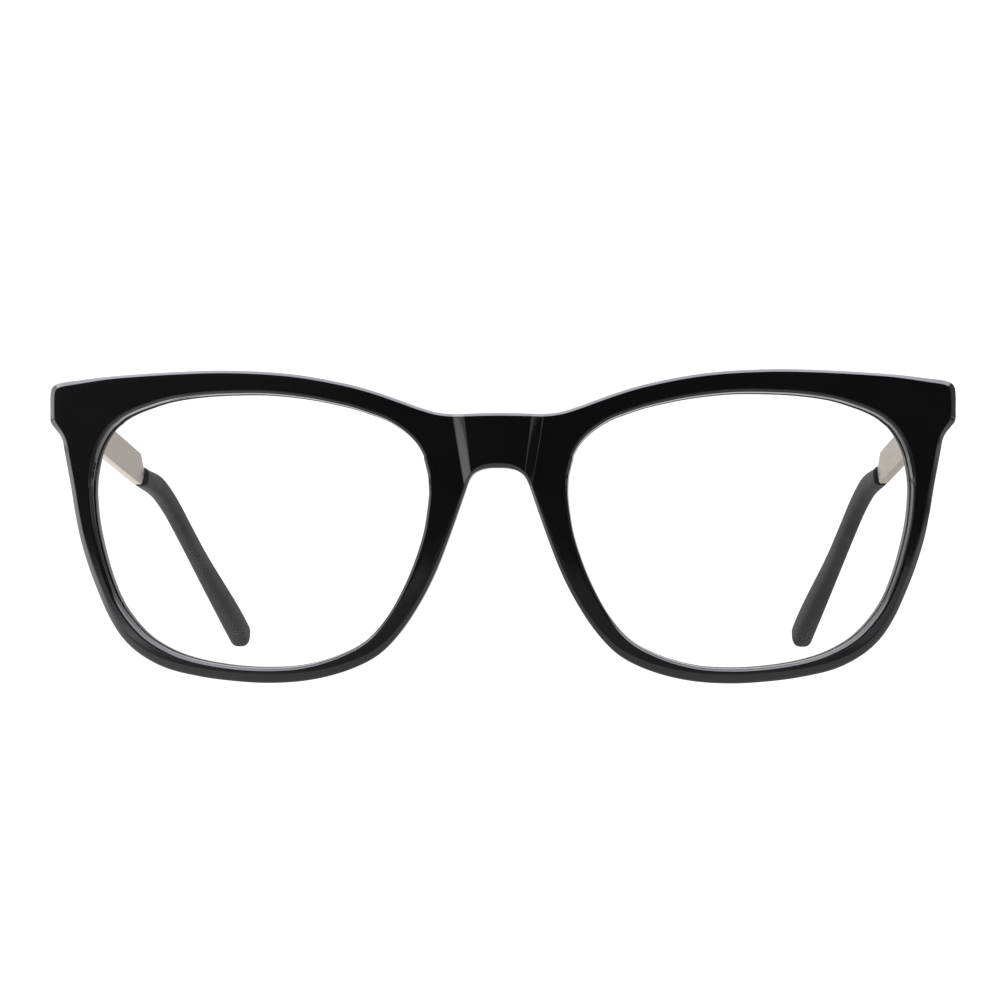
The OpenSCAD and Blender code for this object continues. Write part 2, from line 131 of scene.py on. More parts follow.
def spline(ctrl, t):
    """Point and unit tangent of the control points' curve at t."""
    i = math.floor(t)
    f = t - i
    a, b, c, d = ctrl(i - 1), ctrl(i), ctrl(i + 1), ctrl(i + 2)
    p = 0.5 * (2 * b + (c - a) * f + (2 * a - 5 * b + 4 * c - d) * f * f + (3 * b - 3 * c + d - a) * f**3)
    v = 0.5 * ((c - a) + 2 * (2 * a - 5 * b + 4 * c - d) * f + 3 * (3 * b - 3 * c + d - a) * f * f)
    return p, v / np.linalg.norm(v)


def face_y(x):
    return EYE_Y + max(0.0, abs(x) - FLAT) ** 2 / (2 * RADIUS)


def lean(x):
    return 0.3 * max(0.0, abs(x) - FLAT) / RADIUS


# ---------------------------------------------------------------- the outline's bevel line
def bevel_width(p, n):
    nx, nz = n
    low = 1.15 + (0.7 - 1.15) * smooth((p[1] - 14) / 10)
    side = 0.92 if nx < 0 else 0.42
    up = 0.44
    corner = smooth((p[0] - 58) / 9)
    if nz < 0:
        return side * nx * nx + (up + 0.22 * corner) * nz * nz
    return side * nx * nx + low * nz * nz


def bevel_depth(p, n):
    nx, nz = n
    if nz < 0:
        return 0.74 * nx * nx + 0.5 * nz * nz
    return 0.74


grid_t = np.arange(-4, NO + 3 + 1e-9, 1 / 16)
grid_p, grid_n, grid_b, grid_d = [], [], [], []
for t in grid_t:
    p, v = spline(outer_ctrl, t)
    n = np.array((v[1], -v[0]))
    q = (abs(p[0]), p[1])
    m = (n[0] if p[0] >= 0 else -n[0], n[1])
    grid_p.append(p)
    grid_n.append(n)
    grid_b.append(bevel_width(q, m))
    grid_d.append(bevel_depth(q, m))
grid_p, grid_n = np.array(grid_p), np.array(grid_n)
grid_b, grid_d = np.array(grid_b), np.array(grid_d)
arc = np.concatenate(([0], np.cumsum(np.linalg.norm(np.diff(grid_p, axis=0), axis=1))))
step = np.gradient(arc)
raw_in = grid_p + grid_n * grid_b[:, None]
grid_in = np.empty_like(raw_in)
grid_dd = np.empty_like(grid_d)
for i, a in enumerate(arc):
    w = np.exp(-(((arc - a) / 0.85) ** 2) / 2) * step
    grid_in[i] = (raw_in * w[:, None]).sum(0) / w.sum()
    grid_dd[i] = (grid_d * w).sum() / w.sum()


def outline(t):
    """Outline point, bevel's inner point, inward normal, bevel depth and roundness at t."""
    p, v = spline(outer_ctrl, t)
    n = np.array((v[1], -v[0]))
    pin = np.array([np.interp(t, grid_t, grid_in[:, k]) for k in (0, 1)])
    dd = float(np.interp(t, grid_t, grid_dd))
    if abs(p[0]) < 1e-7:
        p[0] = 0
        pin[0] = 0
        n = np.array((0.0, math.copysign(1, n[1])))
    rnd = float(smooth((n[1] - 0.2) / 0.5) * smooth((16 - p[1]) / 6))
    return p, pin, n, dd, rnd


FLAT_PROFILE = [(1.07, 0), (1.0, 0.004), (0.95, 0.02), (0.88, 0.075), (0.62, 0.32), (0.36, 0.56), (0.12, 0.785), (0.04, 0.88), (0.005, 0.98), (0, 1.08)]
ROUND_PROFILE = [(1.07, 0), (1.0, 0.006), (0.92, 0.03), (0.8, 0.085), (0.58, 0.2), (0.36, 0.37), (0.16, 0.58), (0.06, 0.76), (0.01, 0.93), (0, 1.08)]


def place(p, base_y, d, ln):
    return (p[0] - ln * d, base_y + d, p[1])


def wall(t, level=None):
    """Points down the outside at t, from the face's edge to the back's edge. level raises the face there."""
    p, pin, n, dd, rnd = outline(t)
    ln = lean(p[0])
    pts = []
    for (s0, d0), (s1, d1) in zip(FLAT_PROFILE, ROUND_PROFILE):
        s, d = s0 + (s1 - s0) * rnd, (d0 + (d1 - d0) * rnd) * dd
        q = p + (pin - p) * s
        base = face_y(q[0]) if level is None else level
        pts.append(place(q, base, d, ln))
    back = face_y(p[0])
    y0 = pts[-1][1] - back
    for f in (0.25, 0.5, 0.75):
        d = y0 + (THICK - BACK_ROUND - y0) * f
        pts.append(place(p, back, d, ln))
    for a in (90, 75, 60, 45, 30, 15, 0):
        q = p + n * BACK_ROUND * (1 - math.sin(math.radians(a)))
        pts.append(place(q, face_y(q[0]), THICK - BACK_ROUND * (1 - math.cos(math.radians(a))), ln))
    q = p + n * (BACK_ROUND + 0.08)
    pts.append(place(q, face_y(q[0]), THICK, ln))
    return pts


# ---------------------------------------------------------------- lens surfaces
lens_a = np.array((10.2, face_y(10.2) + LIP_FRONT))
lens_b = np.array((60.9, face_y(60.9) + LIP_FRONT))
ab = lens_b - lens_a
half = np.linalg.norm(ab) / 2
away = np.array((-ab[1], ab[0])) / np.linalg.norm(ab)
lens_c = (lens_a + lens_b) / 2 + away * math.sqrt(LENS_R**2 - half**2)


def lens_y(x, z, r):
    return lens_c[1] - math.sqrt(r * r - (x - lens_c[0]) ** 2 - (z - LENS_Z) ** 2)


def at_lens(p, n, s, r, extra=0.0):
    q = s - DRAFT * 2.2
    x = p[0] + n[0] * q - lean(p[0]) * 2.2
    z = p[1] + n[1] * q
    return (x, lens_y(x, z, r) + extra, z)


def inside(p, n, s, d):
    q = p + n * (s - DRAFT * d)
    return place(q, face_y(p[0] + n[0] * s), d, lean(p[0]))


def opening(t):
    p, v = spline(inner_ctrl, t)
    return p, np.array((-v[1], v[0]))


def lip(t):
    """Points from the face's edge at the opening, over the lip, round the lens groove, to the back."""
    p, n = opening(t)
    pts = [inside(p, n, LIP + 0.1, 0)]
    for s, d in ((LIP + 0.02, 0.004), (LIP - 0.05, 0.035), (0.2, 0.16), (0.06, 0.29), (0.012, 0.36), (0, 0.44)):
        pts.append(inside(p, n, s, d))
    front = at_lens(p, n, 0, LENS_R)
    near = inside(p, n, 0, 0.44)
    for f in (0.35, 0.7, 0.94):
        pts.append(tuple(np.array(near) * (1 - f) + np.array(front) * f))
    pts.append(at_lens(p, n, 0.02, LENS_R))
    pts.append(at_lens(p, n, GROOVE, LENS_R, 0.25))
    pts.append(at_lens(p, n, GROOVE, LENS_R - LENS_T, -0.25))
    pts.append(at_lens(p, n, 0.02, LENS_R - LENS_T))
    back = at_lens(p, n, 0, LENS_R - LENS_T)
    rear = inside(p, n, 0, THICK - 0.34)
    for f in (0.06, 0.35, 0.7):
        pts.append(tuple(np.array(back) * (1 - f) + np.array(rear) * f))
    pts.append(rear)
    for s, d in ((0.012, 0.25), (0.06, 0.13), (0.15, 0.045), (0.26, 0.004)):
        pts.append(inside(p, n, s, THICK - d))
    pts.append(inside(p, n, 0.36, THICK))
    return pts


# ---------------------------------------------------------------- mesh helpers
class Sheet:
    """Vertices and faces gathered from strips of equal-length point rows."""

    def __init__(self):
        self.v, self.f = [], []

    def strip(self, rows, close=False, flip=False):
        n = len(rows[0])
        base = len(self.v)
        for r in rows:
            assert len(r) == n
            self.v.extend(tuple(map(float, q)) for q in r)
        m = len(rows)
        for i in range(m if close else m - 1):
            k = (i + 1) % m
            for j in range(n - 1):
                a, b, c, d = base + i * n + j, base + i * n + j + 1, base + k * n + j + 1, base + k * n + j
                self.f.append((a, d, c, b) if flip else (a, b, c, d))

    def cap(self, ring, flip=False):
        base = len(self.v)
        self.v.extend(tuple(map(float, q)) for q in ring)
        idx = list(range(base, base + len(ring)))
        self.f.append(tuple(reversed(idx)) if flip else tuple(idx))


def mesh_from(name, sheet, side=1, merge=1e-7, mirror=False, sharp=None, flat=None):
    me = bpy.data.meshes.new(name)
    pts = [(side * x / 1000, (y - DEPTH_MID) / 1000, z / 1000) for x, y, z in sheet.v]
    me.from_pydata(pts, [], sheet.f)
    bm = bmesh.new()
    bm.from_mesh(me)
    bmesh.ops.remove_doubles(bm, verts=bm.verts, dist=merge)
    if mirror:
        for v in bm.verts:
            if abs(v.co.x) < 1e-7:
                v.co.x = 0
        geom = bm.verts[:] + bm.edges[:] + bm.faces[:]
        bmesh.ops.mirror(bm, geom=geom, axis="X", merge_dist=1e-7, matrix=Matrix.Identity(4))
    bmesh.ops.dissolve_degenerate(bm, dist=1e-8, edges=bm.edges)
    bmesh.ops.recalc_face_normals(bm, faces=bm.faces)
    for f in bm.faces:
        f.smooth = flat is None or len(f.verts) < flat
    if sharp is not None:
        for e in bm.edges:
            if len(e.link_faces) == 2 and e.calc_face_angle(0) > math.radians(sharp):
                e.smooth = False
    bm.to_mesh(me)
    bm.free()
    ob = bpy.data.objects.new(name, me)
    bpy.context.scene.collection.objects.link(ob)
    return ob


# ---------------------------------------------------------------- front
def lerp_rows(a, b, n, y_of=None):
    a, b = np.array(a, float), np.array(b, float)
    out = []
    for k in range(n + 1):
        f = k / n
        q = a * (1 - f) + b * f
        if 0 < k < n and y_of is not None:
            q[1] = y_of(q[0], f)
        out.append(q)
    return out


def build_front():
    s = Sheet()
    dt = 1 / 14
    ts = list(np.arange(T_TOP, T_LOW, dt))
    if T_LOW - ts[-1] < dt / 2:
        ts.pop()
    ts.append(T_LOW)
    rows_o, rows_f, rows_i, rows_b = [], [], [], []
    nf = 5

    def across(w0, l0):
        return lerp_rows(w0, l0, nf, lambda x, f: face_y(x))

    def behind(l1, w1):
        return lerp_rows(l1, w1, nf, lambda x, f: face_y(x + lean(abs(x)) * THICK) + THICK)

    for t in ts:
        w, li = wall(t), lip(t)
        rows_o.append(w[::-1])
        rows_f.append(across(w[0], li[0]))
        rows_i.append(li)
        rows_b.append(behind(li[-1], w[-1]))
    s.strip(rows_o)
    s.strip(rows_f)
    s.strip(rows_i)
    s.strip(rows_b)

    # closing part of the ring, beside the bridge
    n_close = 90
    w_low, w_top = wall(T_LOW), wall(T_TOP)
    rows_f, rows_i, rows_b = [], [], []
    for k in range(n_close + 1):
        f = k / n_close
        t = T_LOW + (T_TOP + NI - T_LOW) * f
        li = lip(t)
        w0 = np.array(w_low[0]) * (1 - f) + np.array(w_top[0]) * f
        w1 = np.array(w_low[-1]) * (1 - f) + np.array(w_top[-1]) * f
        rows_f.append(across(w0, li[0]))
        rows_i.append(li)
        rows_b.append(behind(li[-1], w1))
    s.strip(rows_f)
    s.strip(rows_i)
    s.strip(rows_b)

    # the bridge: facet, then the raised plateau
    us = [0, 0.025, 0.06, 0.12, 0.3, 0.5, 0.7, 0.88, 0.94, 0.975, 1.0]
    cols = []
    for u in us:
        if u <= 0.12:
            h = (u / 0.12) ** 2 * 0.06
        elif u >= 0.88:
            h = 1 - ((1 - u) / 0.12) ** 2 * 0.06
        else:
            h = 0.06 + 0.88 * (u - 0.12) / 0.76
        cols.append((T_LOW + (T_LOW_A - T_LOW) * u, T_TOP + (T_TOP_A - T_TOP) * u, EYE_Y - RISE * h))
    for u in (0.02, 0.05, 0.1, 0.2, 0.32, 0.44, 0.56, 0.68, 0.8, 0.9, 1.0):
        cols.append((T_LOW_A + (NO - 1 - T_LOW_A) * u, T_TOP_A * (1 - u), EYE_Y - RISE))
    rl, rf, rt, rb = [], [], [], []
    for t0, t1, level in cols:
        w0, w1 = wall(t0, level), wall(t1, level)
        rl.append(w0)
        rt.append(w1)
        rf.append(lerp_rows(w0[0], w1[0], n_close))
        rb.append(lerp_rows(w0[-1], w1[-1], n_close))
    s.strip(rl)
    s.strip(rf, flip=True)
    s.strip(rt, flip=True)
    s.strip(rb)
    return mesh_from("front_acetate", s, mirror=True, merge=2e-7)


# ---------------------------------------------------------------- lenses
def build_lens(name, side):
    s = Sheet()
    ts = [k * NI / 228 for k in range(228)]
    ctr = np.array((35.8, LENS_Z))
    rings = 30
    front, edge, back = [], [], []
    for t in ts:
        p, n = opening(t)
        rim = at_lens(p, n, 0.3, LENS_R)
        q = np.array((rim[0], rim[2]))
        fr = []
        for k in range(rings + 1):
            f = 1 - (k / rings) ** 1.0 * 0.985
            g = ctr + (q - ctr) * f
            fr.append((g[0], lens_y(g[0], g[1], LENS_R), g[1]))
        bk = []
        for x, _, z in fr:
            bk.append((x, lens_y(x, z, LENS_R - LENS_T), z))
        front.append(fr)
        back.append(bk)
        apex = at_lens(p, n, GROOVE - 0.06, LENS_R, 0.7)
        edge.append([bk[0], apex, fr[0]])
    s.strip(front, close=True)
    s.strip(edge, close=True)
    s.strip(back, close=True, flip=True)
    s.cap([r[-1] for r in front])
    s.cap([r[-1] for r in back], flip=True)
    return mesh_from(name, s, side, merge=1e-7, sharp=50)


# ---------------------------------------------------------------- nose pads
PAD_H, PAD_A, PAD_B = 3.6, 43.0, 47.0


def build_pad(name, side):
    s = Sheet()
    rows = []
    n = 72
    for i in range(n + 1):
        f = i / n
        t = PAD_A + (PAD_B - PAD_A) * f
        p, v = spline(outer_ctrl, t)
        nn = np.array((v[1], -v[0]))
        h = 0.02 + (PAD_H - 0.5) * math.sin(math.pi * min(1, max(0, f))) ** 0.62
        io, _ = opening(t)
        w = min(3.1, np.linalg.norm(io - p) - 0.45)
        shape = [(BACK_ROUND, -0.06), (BACK_ROUND + 0.02 * h, 0.12), (BACK_ROUND + 0.06 * h, 0.34), (BACK_ROUND + 0.13 * h, 0.57),
                 (BACK_ROUND + 0.23 * h, 0.76), (BACK_ROUND + 0.35 * h, 0.9), (BACK_ROUND + 0.48 * h, 0.98), (BACK_ROUND + 0.6 * h, 1.0),
                 (BACK_ROUND + 0.6 * h + (w - BACK_ROUND - 0.6 * h) * 0.35, 0.96), (BACK_ROUND + 0.6 * h + (w - BACK_ROUND - 0.6 * h) * 0.62, 0.84),
                 (BACK_ROUND + 0.6 * h + (w - BACK_ROUND - 0.6 * h) * 0.84, 0.64), (w - 0.01, 0.4), (w, 0.15), (w, -0.06)]
        row = []
        for ss, dd in shape:
            q = p + nn * ss
            row.append(place(q, face_y(q[0]), THICK + dd * h, lean(p[0])))
        rows.append(row)
    s.strip(rows)
    s.strip([[r[-1] for r in rows], [r[0] for r in rows]])
    s.cap(rows[0], flip=True)
    s.cap(rows[-1])
    return mesh_from(name, s, side, merge=1e-8, sharp=60)


# ---------------------------------------------------------------- temples
def vec(*a):
    return np.array(a, float)


def unit(v):
    return v / np.linalg.norm(v)


BAR_H, BAR_T, BAR_L, BAR_FROM = 5.4, 1.4, 48.0, 0.4
TIP_H, TIP_T, CORE_D, TIP_FLARE = 5.2, 3.2, 1.3, 1.0
bar_p, bend_p, end_p = vec(66.6, 14.25, 41.05), vec(64, 80, 31.1), vec(59.3, 148, 1.6)
bend_run = 12.0
d1, d2 = unit(bend_p - bar_p), unit(end_p - bend_p)
turn = math.acos(d1 @ d2)
bend_r = bend_run / math.tan(turn / 2)
bend_in, bend_out = bend_p - d1 * bend_run, bend_p + d2 * bend_run
inward = unit(d2 - d1 * (d1 @ d2))
bend_c = bend_in + inward * bend_r
toe = math.atan2(bar_p[0] - bend_p[0], bend_p[1] - bar_p[1])
slope = (bend_p[2] - bar_p[2]) / math.hypot(bend_p[0] - bar_p[0], bend_p[1] - bar_p[1])
arc_len = bend_r * turn
run_a = np.linalg.norm(bend_in - bar_p)
run_b = run_a + arc_len
run_c = run_b + np.linalg.norm(end_p - bend_out)
TIP_FROM = BAR_L + 0.6


def centre(s):
    if s < run_a:
        return bar_p + d1 * s
    if s < run_b:
        a = (s - run_a) / bend_r
        return bend_c - inward * bend_r * math.cos(a) + d1 * bend_r * math.sin(a)
    return bend_out + d2 * (s - run_b)


def heading(s):
    if s < run_a:
        return d1
    if s < run_b:
        a = (s - run_a) / bend_r
        return d1 * math.cos(a) + inward * math.sin(a)
    return d2


def axes(s):
    d = heading(s)
    e = unit(vec(d[1], -d[0], 0))
    return d, e, np.cross(e, d)


def flare(s):
    return TIP_FLARE * smooth((s - 95) / 40)


def tip_size(s):
    g = smooth((s - TIP_FROM) / 14)
    k = smooth((s - 80) / 55)
    h = (3.4 + 0.5 * g + (TIP_H - 3.9) * k) / 2
    w = (TIP_T - 0.4 + 0.1 * g + 0.3 * k + flare(s)) / 2
    return h, w


def tip_drop(s):
    return 0.8 * (1 - smooth((s - TIP_FROM) / 16))


def tip_ring(s, scale=1.0, shift=0.0, ring=56):
    d, e, u = axes(s)
    h, w = tip_size(s)
    c = centre(s) - u * tip_drop(s) + d * shift - e * flare(s) / 2
    out = []
    for k in range(ring):
        a = 2 * math.pi * k / ring
        ca, sa = math.cos(a), math.sin(a)
        x = math.copysign(abs(ca) ** 0.74, ca)
        z = math.copysign(abs(sa) ** 0.74, sa)
        out.append(c + (e * w * x + u * h * z) * scale)
    return out


def build_tip(name, side):
    s = Sheet()
    rows = []
    r0 = 0.34
    # mouth: a hole for the core, a flat, then an eased edge
    d, e, u = axes(TIP_FROM)
    h, w = tip_size(TIP_FROM)
    hole_c = centre(TIP_FROM)
    for depth, rad in ((1.6, 0.66), (0.12, 0.7), (0.03, 0.74), (0.0, 0.8)):
        ring = []
        for k in range(56):
            a = 2 * math.pi * k / 56
            ring.append(hole_c + d * depth + rad * (e * math.cos(a) + u * math.sin(a)))
        rows.append(ring)
    for a in (0, 20, 40, 60, 80):
        q = math.radians(a)
        rows.append(tip_ring(TIP_FROM + r0 * (1 - math.cos(q)), 1 - 0.2 * (1 - math.sin(q))))
    for v in np.linspace(TIP_FROM + r0, run_a, 34):
        rows.append(tip_ring(v))
    for v in np.linspace(run_a, run_b, 26)[1:]:
        rows.append(tip_ring(v))
    end = run_c - 2.4
    for v in np.linspace(run_b, end, 60)[1:]:
        rows.append(tip_ring(v))
    for a in range(6, 91, 6):
        q = math.radians(min(a, 88.5))
        rows.append(tip_ring(end + 2.4 * math.sin(q), max(0.02, math.cos(q)) ** 0.92))
    rows = [list(r) + [r[0]] for r in rows]
    s.strip(rows)
    s.cap(rows[0][:-1], flip=True)
    s.cap(rows[-1][:-1])
    return mesh_from(name, s, side, merge=1e-8)


def along(x, z, off):
    """Point of the bar's own plane: x along the bar, z up, off sideways."""
    dirx = vec(-math.sin(toe), math.cos(toe), 0)
    out = vec(math.cos(toe), math.sin(toe), 0)
    return bar_p + dirx * x + vec(0, 0, z) + out * off


def build_bar(name, side):
    hb = BAR_H / 2
    L = BAR_L
    corner = [
        (BAR_FROM, -hb + BAR_FROM * slope, 0.5), (L - 2.6, -hb + (L - 2.6) * slope, 0.38),
        (L - 1.9, -hb + 0.5 + (L - 1.9) * slope, 0.38), (L, L * slope - 0.1, 0.5),
        (L - 2.6, hb - 0.4 + (L - 2.6) * slope, 0.34), (L - 3.2, hb + (L - 3.2) * slope, 0.34),
        (BAR_FROM, hb + BAR_FROM * slope, 0.5),
    ]
    # corners eased in the plane
    path = []
    m = len(corner)
    for i in range(m):
        x, z, r = corner[i]
        c, a, b = vec(x, z), vec(*corner[i - 1][:2]), vec(*corner[(i + 1) % m][:2])
        p0, p1 = c + unit(a - c) * r, c + unit(b - c) * r
        for k in range(5):
            f = k / 4
            path.append((1 - f) ** 2 * p0 + 2 * f * (1 - f) * c + f * f * p1)
    dense = []
    for i, q in enumerate(path):
        nxt = path[(i + 1) % len(path)]
        n = max(1, int(np.linalg.norm(nxt - q) / 3))
        for k in range(n):
            dense.append(q + (nxt - q) * k / n)
    area = sum(dense[i - 1][0] * dense[i][1] - dense[i][0] * dense[i - 1][1] for i in range(len(dense)))
    cnt = len(dense)
    nrm = []
    for i in range(cnt):
        v = dense[(i + 1) % cnt] - dense[i - 1]
        n = unit(vec(v[1], -v[0]))
        nrm.append(n if area > 0 else -n)
    t, e = BAR_T / 2, 0.14
    prof = [(-e - 0.02, t), (-e, t), (-e * 0.75, t - e * 0.04), (-e * 0.36, t - e * 0.3), (-e * 0.08, t - e * 0.72), (0, t - e),
            (0, -t + e), (-e * 0.08, -t + e * 0.72), (-e * 0.36, -t + e * 0.3), (-e * 0.75, -t + e * 0.04), (-e, -t), (-e - 0.02, -t)]
    s = Sheet()
    rows = [[along(*(dense[i] + nrm[i] * o), off) for o, off in prof] for i in range(cnt)]
    s.strip(rows, close=True)
    s.cap([r[0] for r in rows])
    s.cap([r[-1] for r in rows], flip=True)
    # core from inside the bar into the tip
    core = []
    for v in [BAR_L - 1.2, BAR_L, BAR_L + 0.6, BAR_L + 1.4, BAR_L + 4]:
        d, e_, u = axes(v)
        c = centre(v)
        core.append([c + CORE_D / 2 * (e_ * math.cos(2 * math.pi * k / 24) + u * math.sin(2 * math.pi * k / 24)) for k in range(25)])
    s.strip(core)
    s.cap(core[0][:-1], flip=True)
    s.cap(core[-1][:-1])
    return mesh_from(name, s, side, merge=1e-8, sharp=40, flat=30)


# ---------------------------------------------------------------- materials
def new_mat(name):
    m = bpy.data.materials.new(name)
    m.use_nodes = True
    nt = m.node_tree
    nt.nodes.clear()
    return m, nt


def node(nt, kind, **inputs):
    n = nt.nodes.new(kind)
    for k, v in inputs.items():
        n.inputs[k].default_value = v
    return n


def noise(nt, vec_out, scale, detail=3.0, rough=0.5):
    n = nt.nodes.new("ShaderNodeTexNoise")
    n.inputs["Scale"].default_value = scale
    n.inputs["Detail"].default_value = detail
    n.inputs["Roughness"].default_value = rough
    nt.links.new(vec_out, n.inputs["Vector"])
    return n.outputs["Fac"]


def ramp(nt, fac, stops):
    r = nt.nodes.new("ShaderNodeValToRGB")
    while len(r.color_ramp.elements) < len(stops):
        r.color_ramp.elements.new(0.5)
    for el, (pos, col) in zip(r.color_ramp.elements, stops):
        el.position = pos
        el.color = (*col, 1) if len(col) == 3 else (col[0], col[0], col[0], 1)
    nt.links.new(fac, r.inputs["Fac"])
    return r.outputs["Color"]


def span(nt, fac, lo, hi):
    n = nt.nodes.new("ShaderNodeMapRange")
    n.inputs["From Min"].default_value = 0.3
    n.inputs["From Max"].default_value = 0.7
    n.inputs["To Min"].default_value = lo
    n.inputs["To Max"].default_value = hi
    nt.links.new(fac, n.inputs["Value"])
    return n.outputs["Result"]


def coords(nt, scale=(1, 1, 1), rot=(0, 0, 0)):
    tc = nt.nodes.new("ShaderNodeTexCoord")
    mp = nt.nodes.new("ShaderNodeMapping")
    mp.inputs["Scale"].default_value = scale
    mp.inputs["Rotation"].default_value = rot
    nt.links.new(tc.outputs["Object"], mp.inputs["Vector"])
    return mp.outputs["Vector"]


def bump(nt, height, strength, distance):
    b = nt.nodes.new("ShaderNodeBump")
    b.inputs["Strength"].default_value = strength
    b.inputs["Distance"].default_value = distance
    nt.links.new(height, b.inputs["Height"])
    return b.outputs["Normal"]


def shader(nt, ior=1.49, metallic=0.0, aniso=0.0, level=0.5, edge=(1, 1, 1)):
    bs = nt.nodes.new("ShaderNodeBsdfPrincipled")
    bs.inputs["IOR"].default_value = ior
    bs.inputs["Metallic"].default_value = metallic
    bs.inputs["Anisotropic"].default_value = aniso
    bs.inputs["Specular IOR Level"].default_value = level
    bs.inputs["Specular Tint"].default_value = (*edge, 1)
    out = nt.nodes.new("ShaderNodeOutputMaterial")
    nt.links.new(bs.outputs["BSDF"], out.inputs["Surface"])
    return bs


def acetate(name, base, base2, rough_lo, rough_hi, ior=1.49, ripple=0.1, level=0.5):
    m, nt = new_mat(name)
    bs = shader(nt, ior, level=level)
    co = coords(nt)
    cloud = noise(nt, co, 55, 4)
    nt.links.new(ramp(nt, cloud, [(0.35, base), (0.65, base2)]), bs.inputs["Base Color"])
    haze = noise(nt, co, 420, 5, 0.62)
    nt.links.new(span(nt, haze, rough_lo, rough_hi), bs.inputs["Roughness"])
    fine = noise(nt, co, 900, 2)
    nt.links.new(bump(nt, fine, ripple, 0.00002), bs.inputs["Normal"])
    return m


def metal(name, base, base2, rough_lo, rough_hi, brushed=(900, 30, 900), rot=(0, 0, 0), strength=0.25, edge=(1, 1, 1)):
    m, nt = new_mat(name)
    bs = shader(nt, 2.2, 1.0, edge=edge)
    co = coords(nt, brushed, rot)
    lines = noise(nt, co, 3.2, 4, 0.65)
    nt.links.new(ramp(nt, lines, [(0.3, base), (0.7, base2)]), bs.inputs["Base Color"])
    nt.links.new(span(nt, lines, rough_lo, rough_hi), bs.inputs["Roughness"])
    nt.links.new(bump(nt, lines, strength, 0.00002), bs.inputs["Normal"])
    return m


def lens_material():
    m, nt = new_mat("lens_clear")
    out = nt.nodes.new("ShaderNodeOutputMaterial")
    mix = nt.nodes.new("ShaderNodeMixShader")
    # facing weight, the same from both sides of the surface, so no total reflection inside the lens
    lw = nt.nodes.new("ShaderNodeLayerWeight")
    lw.inputs["Blend"].default_value = 0.5
    rim = nt.nodes.new("ShaderNodeMath")
    rim.operation = "POWER"
    rim.inputs[1].default_value = 5.0
    nt.links.new(lw.outputs["Facing"], rim.inputs[0])
    fr = nt.nodes.new("ShaderNodeMath")
    fr.operation = "MULTIPLY_ADD"
    fr.inputs[1].default_value = 0.45
    fr.inputs[2].default_value = 0.003
    nt.links.new(rim.outputs["Value"], fr.inputs[0])
    tr = nt.nodes.new("ShaderNodeBsdfTransparent")
    gl = nt.nodes.new("ShaderNodeBsdfGlossy")
    gl.inputs["Roughness"].default_value = 0.02
    co = coords(nt)
    faint = noise(nt, co, 40, 2)
    nt.links.new(ramp(nt, faint, [(0.3, (0.99, 0.995, 0.992)), (0.7, (1.0, 1.0, 1.0))]), tr.inputs["Color"])
    nt.links.new(fr.outputs["Value"], mix.inputs["Fac"])
    nt.links.new(tr.outputs["BSDF"], mix.inputs[1])
    nt.links.new(gl.outputs["BSDF"], mix.inputs[2])
    nt.links.new(mix.outputs["Shader"], out.inputs["Surface"])
    return m


front_mat = acetate("acetate_polished_black", (0.0035, 0.0036, 0.004), (0.0048, 0.0048, 0.0052), 0.045, 0.085)
pad_mat = acetate("acetate_pad_black", (0.004, 0.004, 0.0044), (0.006, 0.006, 0.0064), 0.1, 0.16)
tip_mat = acetate("acetate_tip_satin", (0.011, 0.0115, 0.0122), (0.014, 0.0145, 0.0155), 0.56, 0.63, ripple=0.05, level=0.14)
lens_mat = lens_material()
bar_mat = metal("temple_satin_metal", (0.36, 0.34, 0.325), (0.43, 0.41, 0.395), 0.32, 0.42, edge=(0.82, 0.755, 0.69), strength=0.12)
hinge_mat = metal("hinge_satin_nickel", (0.5, 0.49, 0.47), (0.58, 0.57, 0.55), 0.24, 0.36, (500, 500, 120), strength=0.15)
screw_mat = metal("screw_plated", (0.66, 0.65, 0.63), (0.74, 0.73, 0.71), 0.16, 0.26, (300, 300, 900), strength=0.1)


def dress(ob, mat, slot_name, body, *nodes):
    ob.data.materials.clear()
    ob.data.materials.append(mat)
    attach(ob, body)
    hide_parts(*nodes)


# ---------------------------------------------------------------- pieces
dress(build_front(), front_mat, "front_acetate", "front", "front_frame")
for side, sx in SIDES.items():
    dress(build_lens(f"lens_clear_{side}", sx), lens_mat, "lens", "front", f"lens_{side}")
    dress(build_pad(f"nose_pad_smooth_{side}", sx), pad_mat, "pad_acetate", "front", f"nose_pad_{side}")
    dress(build_bar(f"temple_metal_{side}", sx), bar_mat, "temple_metal", f"temple_{side}", f"temple_bar_{side}")
    dress(build_tip(f"temple_end_{side}", sx), tip_mat, "tip_acetate", f"temple_{side}", f"temple_tip_{side}")
    for n, mat in ((f"front_leaf_{side}", hinge_mat), (f"temple_leaf_{side}", hinge_mat), (f"hinge_screw_{side}", screw_mat)):
        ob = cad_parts[n]
        ob.data.materials.clear()
        ob.data.materials.append(mat)
        bv = ob.modifiers.new("eased", "BEVEL")
        bv.width = 0.00008
        bv.segments = 2
        bv.limit_method = "ANGLE"
        bv.angle_limit = math.radians(50)

# ---------------------------------------------------------------- stage: floor, light, camera
scene = bpy.context.scene
scene.view_settings.view_transform = "Standard"
scene.view_settings.look = "None"
scene.view_settings.exposure = 0
scene.view_settings.gamma = 1

